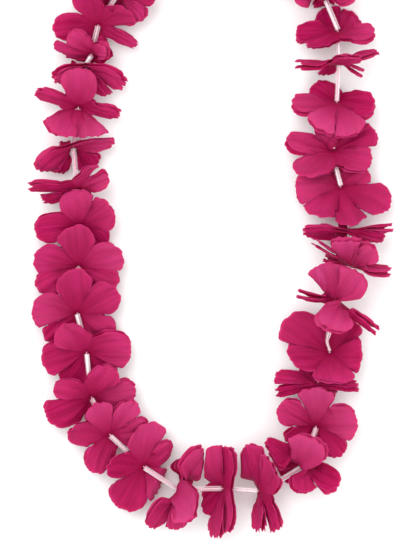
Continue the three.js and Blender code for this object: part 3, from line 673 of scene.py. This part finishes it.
def satin_material():
    m = Nodes("petal satin")
    base = m.shader.inputs
    base["Roughness"].default_value = 0.5
    base["Subsurface Weight"].default_value = 0.35
    base["Subsurface Radius"].default_value = LIGHT_THROUGH
    base["Subsurface Scale"].default_value = 0.002
    base["Specular IOR Level"].default_value = 0.06
    base["Sheen Weight"].default_value = 0.08
    base["Sheen Roughness"].default_value = 0.35
    base["Sheen Tint"].default_value = SHEEN_PINK
    place = m.add("ShaderNodeNewGeometry")
    weave = m.add("ShaderNodeAttribute", attribute_name="weave")
    # Pressed streaks that run from the middle of the bloom to the rim: bumped into the surface, and
    # painted light and shade between lit and shaded pink, mixed with patches.
    stretch = m.add("ShaderNodeVectorMath", operation="MULTIPLY")
    stretch.inputs[1].default_value = (7.0, 0.8, 1.0)
    m.join(weave.outputs["Vector"], stretch.inputs[0])
    streaks = m.add("ShaderNodeTexNoise", Scale=1.0, Detail=5.0, Roughness=0.65)
    m.join(stretch.outputs["Vector"], streaks.inputs["Vector"])
    patches = m.add("ShaderNodeTexNoise", Scale=60.0, Detail=2.0)
    m.join(place.outputs["Position"], patches.inputs["Vector"])
    mixed = m.add("ShaderNodeMix", data_type="FLOAT")
    mixed.inputs["Factor"].default_value = 0.35
    m.join(streaks.outputs["Fac"], mixed.inputs["A"])
    m.join(patches.outputs["Fac"], mixed.inputs["B"])
    shades = m.add("ShaderNodeValToRGB")
    shades.color_ramp.elements[0].position = 0.34
    shades.color_ramp.elements[0].color = SHADED_PINK
    shades.color_ramp.elements[1].position = 0.66
    shades.color_ramp.elements[1].color = LIT_PINK
    m.join(mixed.outputs["Result"], shades.inputs["Fac"])
    # Painted shade: darker towards the middle of the bloom, where the petals crowd round the hub;
    # the cut rim is painted paler further on, as a painted highlight.
    parts = m.add("ShaderNodeSeparateXYZ")
    m.join(weave.outputs["Vector"], parts.inputs[0])
    near = m.add("ShaderNodeMapRange")
    near.inputs["From Min"].default_value = 0.05
    near.inputs["From Max"].default_value = 0.7
    near.inputs["To Min"].default_value = 0.75
    near.inputs["To Max"].default_value = 0.0
    m.join(parts.outputs["Y"], near.inputs["Value"])
    centre_shade = m.add("ShaderNodeMix", data_type="RGBA")
    centre_shade.inputs["B"].default_value = CENTRE_SHADE_PINK
    m.join(near.outputs["Result"], centre_shade.inputs["Factor"])
    m.join(shades.outputs["Color"], centre_shade.inputs["A"])
    # Painted light: petals that lift towards the lamps are painted paler, more so towards their
    # rims, and the paleness also differs at random from petal to petal.
    light_and_tone = m.add("ShaderNodeAttribute", attribute_name="light_and_tone")
    share = m.add("ShaderNodeMath", operation="MULTIPLY")
    m.join(light_and_tone.outputs["Fac"], share.inputs[0])
    m.join(parts.outputs["Y"], share.inputs[1])
    pale = m.add("ShaderNodeMix", data_type="RGBA")
    pale.inputs["B"].default_value = LIT_AND_PALE_PINK
    m.join(share.outputs["Value"], pale.inputs["Factor"])
    m.join(centre_shade.outputs["Result"], pale.inputs["A"])
    # Painted highlight: a paler pink along the cut rim and the petals' sides.
    rim = m.add("ShaderNodeAttribute", attribute_name="rim")
    rim_highlight = m.add("ShaderNodeMix", data_type="RGBA")
    rim_highlight.inputs["B"].default_value = RIM_HIGHLIGHT_PINK
    m.join(rim.outputs["Fac"], rim_highlight.inputs["Factor"])
    m.join(pale.outputs["Result"], rim_highlight.inputs["A"])
    m.join(rim_highlight.outputs["Result"], base["Base Color"])
    threads = m.add(
        "ShaderNodeTexWave", Scale=900.0, Distortion=1.5, bands_direction="DIAGONAL")
    m.join(place.outputs["Position"], threads.inputs["Vector"])
    woven = m.add("ShaderNodeBump", Strength=0.12, Distance=0.0002)
    m.join(threads.outputs["Fac"], woven.inputs["Height"])
    pressed = m.add("ShaderNodeBump", Strength=0.5, Distance=0.0008)
    m.join(streaks.outputs["Fac"], pressed.inputs["Height"])
    m.join(woven.outputs["Normal"], pressed.inputs["Normal"])
    m.join(pressed.outputs["Normal"], base["Normal"])
    return m.material


def clear_material():
    m = Nodes("clear straw")
    base = m.shader.inputs
    base["Base Color"].default_value = STRAW_TINT
    base["Roughness"].default_value = 0.12
    # Painted highlights: opaque white streaks along the straw stand in for the lamps' long
    # reflections, with clear plastic between them.
    turn = m.add("ShaderNodeAttribute", attribute_name="turn")
    highlight_noise = m.add("ShaderNodeTexNoise", Scale=1.6, Detail=3.0, Roughness=0.6)
    m.join(turn.outputs["Vector"], highlight_noise.inputs["Vector"])
    highlight_streaks = m.add("ShaderNodeMapRange")
    highlight_streaks.inputs["From Min"].default_value = 0.48
    highlight_streaks.inputs["From Max"].default_value = 0.62
    highlight_streaks.inputs["To Min"].default_value = 0.1
    highlight_streaks.inputs["To Max"].default_value = 0.8
    m.join(highlight_noise.outputs["Fac"], highlight_streaks.inputs["Value"])
    m.join(highlight_streaks.outputs["Result"], base["Alpha"])
    base["Specular IOR Level"].default_value = 0.5
    base["IOR"].default_value = 1.45
    base["Coat Weight"].default_value = 0.3
    base["Coat Roughness"].default_value = 0.05
    place = m.add("ShaderNodeNewGeometry")
    noise = m.add("ShaderNodeTexNoise", Scale=300.0, Detail=2.0)
    m.join(place.outputs["Position"], noise.inputs["Vector"])
    bump = m.add("ShaderNodeBump", Strength=0.05, Distance=0.0001)
    m.join(noise.outputs["Fac"], bump.inputs["Height"])
    m.join(bump.outputs["Normal"], base["Normal"])
    return m.material


def thread_material():
    m = Nodes("pale thread")
    base = m.shader.inputs
    base["Roughness"].default_value = 0.8
    place = m.add("ShaderNodeNewGeometry")
    noise = m.add("ShaderNodeTexNoise", Scale=2500.0, Detail=2.0)
    m.join(place.outputs["Position"], noise.inputs["Vector"])
    shades = m.add("ShaderNodeValToRGB")
    shades.color_ramp.elements[0].color = THREAD_DARK
    shades.color_ramp.elements[1].color = THREAD_PALE
    m.join(noise.outputs["Fac"], shades.inputs["Fac"])
    m.join(shades.outputs["Color"], base["Base Color"])
    bump = m.add("ShaderNodeBump", Strength=0.15, Distance=0.0001)
    m.join(noise.outputs["Fac"], bump.inputs["Height"])
    m.join(bump.outputs["Normal"], base["Normal"])
    return m.material


satin = satin_material()
clear = clear_material()
pale_thread = thread_material()


def make_bloom(i):
    name = f"bloom_{i + 1:02d}"
    for front in (True, False):
        verts, faces, marks = layer_mesh(i, front)
        piece = new_object(
            f"{name}_{'front' if front else 'back'}", verts, faces, satin, "petal_fabric", name)
        for mark in ("rim", "light_and_tone"):
            attribute = piece.data.attributes.new(mark, "FLOAT", "POINT")
            attribute.data.foreach_set("value", np.array(marks[mark], np.float32))
        attribute = piece.data.attributes.new("weave", "FLOAT_VECTOR", "POINT")
        attribute.data.foreach_set("vector", np.array(marks["weave"], np.float32).ravel())
        weld = piece.modifiers.new("webs", "WELD")
        weld.merge_threshold = WELD * MM
        solidify = piece.modifiers.new("thickness", "SOLIDIFY")
        solidify.thickness = SATIN * MM
        solidify.offset = 0


# Rings of points round a path. profile gives the radius at a step and turn.
def tube(path, radius, sides, profile=None):
    rings = []
    path = np.asarray(path, float)
    ways = unit(np.gradient(path, axis=0))
    side, high = crossways(ways[0])
    for k, (point, way) in enumerate(zip(path, ways)):
        side = unit(side - way * (side @ way))
        high = np.cross(way, side)
        for s in range(sides):
            turn = 2 * math.pi * s / sides
            r = profile(k, turn) if profile else radius
            rings.append(point + r * (side * math.cos(turn) + high * math.sin(turn)))
    return np.array(rings)


# Places along a straw and the thread in it, at shares of its length.
def straw_path(i, shares):
    start, end = straws[i]
    path = [lerp(start, end, t) for t in shares]
    if i == CRUSHED_STRAW:
        aside = unit(np.cross(UP, end - start)) * CRUSH_ASIDE
        bends = [min(t / CRUSH_AT, (1 - t) / (1 - CRUSH_AT)) for t in shares]
        path = [point + aside * bend for point, bend in zip(path, bends)]
    return path


# A straw's radius near its crushed end: folded flat and crumpled.
def crushed(shares, radius):
    def profile(k, turn):
        near = math.exp(-((shares[k] - CRUSH_AT / 2) / CRUSH_AT) ** 4)
        dent = CRUSH_DENT * abs(math.cos(turn + 0.4)) + CRUSH_CRUMPLE * draw(k + round(turn * 2))
        return radius * (1 - near * dent)

    return profile


def make_straw(i):
    start, end = straws[i]
    sides, steps = STRAW_ROUND, STRAW_STEPS
    crush = i == CRUSHED_STRAW
    past = STRAW_REACH / np.linalg.norm(end - start)
    shares = np.linspace(0 if crush else -past, 1 + past, steps)
    path = straw_path(i, shares)
    verts = np.vstack([
        tube(path, radius, sides, crushed(shares, radius) if crush else None)
        for radius in (STRAW_RADIUS, STRAW_RADIUS - STRAW_WALL)
    ])
    faces = []
    shift = steps * sides
    for r in range(steps - 1):
        for s in range(sides):
            a, b = r * sides + s, r * sides + (s + 1) % sides
            faces.append((a, b, b + sides, a + sides))
            faces.append((shift + a, shift + a + sides, shift + b + sides, shift + b))
    last = (steps - 1) * sides
    for s in range(sides):
        t = (s + 1) % sides
        faces.append((s, shift + s, shift + t, t))
        faces.append((last + s, last + t, shift + last + t, shift + last + s))
    piece = new_object(f"straw_{i + 1:02d}", verts, faces, clear, "clear_straw", "strand")
    # The angle round the straw, which places the painted highlight streaks.
    turns = np.tile(np.arange(sides), 2 * steps) * 2 * math.pi / sides
    around = np.column_stack([np.cos(turns), np.sin(turns), np.full(len(turns), 3.1 * i)])
    attribute = piece.data.attributes.new("turn", "FLOAT_VECTOR", "POINT")
    attribute.data.foreach_set("vector", around.astype(np.float32).ravel())


def make_thread():
    path = []
    for i in range(COUNT):
        path.extend(straw_path(i, np.linspace(0, 1, THREAD_STEPS)))
    sides = THREAD_ROUND
    count = len(path)

    def twisted(k, turn):
        groove = THREAD_GROOVE * (1 - abs(math.cos(turn + THREAD_TWIST * k)))
        return THREAD_RADIUS * (1 - groove)

    verts = tube(path, THREAD_RADIUS, sides, twisted)
    faces = []
    for r in range(count):
        nxt = (r + 1) % count
        for s in range(sides):
            t = (s + 1) % sides
            faces.append((r * sides + s, r * sides + t, nxt * sides + t, nxt * sides + s))
    new_object("thread", verts, faces, pale_thread, "clear_straw", "strand")


for i in range(COUNT):
    make_bloom(i)
    make_straw(i)
make_thread()


def make_floor():
    mesh = bpy.data.meshes.new("floor")
    far = FLOOR_REACH
    corners = [(-far, -far, 0), (far, -far, 0), (far, far, 0), (-far, far, 0)]
    mesh.from_pydata(corners, [], [(0, 1, 2, 3)])
    floor = bpy.data.objects.new("floor", mesh)
    floor.location.z = -FLOOR_DROP
    m = Nodes("floor")
    m.shader.inputs["Base Color"].default_value = FLOOR_WHITE
    m.shader.inputs["Roughness"].default_value = 0.9
    mesh.materials.append(m.material)
    bpy.context.scene.collection.objects.link(floor)


def make_light(name, place, size, power):
    light = bpy.data.lights.new(name, "AREA")
    light.size = size
    light.energy = power
    lamp = bpy.data.objects.new(name, light)
    lamp.location = place
    lamp.rotation_euler = (-Vector(place)).to_track_quat("-Z", "Y").to_euler()
    bpy.context.scene.collection.objects.link(lamp)


def make_world():
    world = bpy.data.worlds.new("studio")
    world.use_nodes = True
    sky = world.node_tree.nodes["Background"].inputs
    sky["Color"].default_value = WORLD_WHITE
    sky["Strength"].default_value = WORLD_STRENGTH
    bpy.context.scene.world = world


# Straight above the photograph's middle, with the lens that fits its height in the picture.
def make_camera():
    data = bpy.data.cameras.new("camera")
    data.sensor_width = SENSOR_WIDTH
    data.lens = SENSOR_WIDTH * CAMERA_DISTANCE / (PHOTO_SIZE[1] * MM_PER_PIXEL * MM)
    camera = bpy.data.objects.new("camera", data)
    height = CAMERA_DISTANCE + CORD_HEIGHT * MM
    camera.location = (offset[0] * MM, offset[1] * MM, height)
    bpy.context.scene.collection.objects.link(camera)
    bpy.context.scene.camera = camera


make_floor()
for light in LIGHTS:
    make_light(*light)
make_world()
bpy.context.scene.view_settings.view_transform = "Standard"
make_camera()
